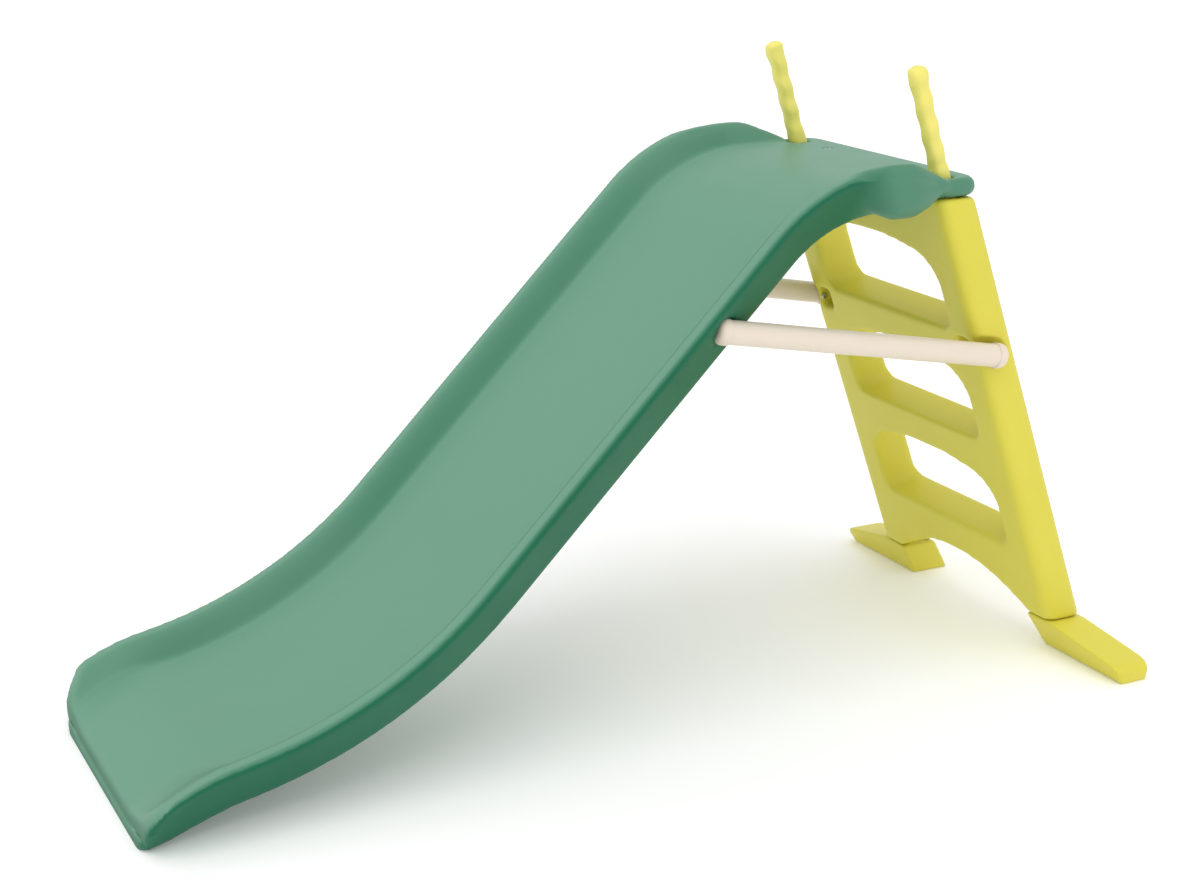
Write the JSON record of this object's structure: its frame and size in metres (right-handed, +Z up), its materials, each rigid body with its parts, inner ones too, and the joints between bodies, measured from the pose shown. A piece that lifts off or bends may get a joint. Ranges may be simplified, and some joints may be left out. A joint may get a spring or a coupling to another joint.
{
  "type": "wave slide",
  "caption": "Free-standing children's slide: hollow moulded S-curved chute and deck on a leaning moulded ladder, with grip handles, tube braces and stabiliser feet.",
  "frame": {"origin": "on the floor under the middle of the slide's overall length and width", "axes": "+Z up; +X from the chute's lip towards the ladder; +Y towards the pieces named left"},
  "size_m": [1.472, 0.7, 0.8932],
  "materials": {
    "green_plastic": "satin blow-moulded polyethylene",
    "yellow_plastic": "satin blow-moulded polyethylene",
    "grip_plastic": "satin moulded polyethylene",
    "tube_enamel": "smooth cream powder coat",
    "cap_plastic": "smooth injection-moulded polypropylene",
    "zinc_steel": "bright zinc plate"
  },
  "bodies": {
    "root": {"chute": "green_plastic", "ladder": "yellow_plastic", "left_handle": "grip_plastic", "left_foot": "yellow_plastic", "left_strut_tube": "tube_enamel", "left_front_tube_cap": "cap_plastic", "left_rear_tube_cap": "cap_plastic", "left_deck_screw": "zinc_steel", "left_deck_washer": "zinc_steel", "left_deck_nut": "zinc_steel", "left_handle_screw": "zinc_steel", "left_foot_screw": "zinc_steel", "left_strut_screw": "zinc_steel", "right_handle": "grip_plastic", "right_foot": "yellow_plastic", "right_strut_tube": "tube_enamel", "right_front_tube_cap": "cap_plastic", "right_rear_tube_cap": "cap_plastic", "right_deck_screw": "zinc_steel", "right_deck_washer": "zinc_steel", "right_deck_nut": "zinc_steel", "right_handle_screw": "zinc_steel", "right_foot_screw": "zinc_steel", "right_strut_screw": "zinc_steel"}
  },
  "joints": []
}
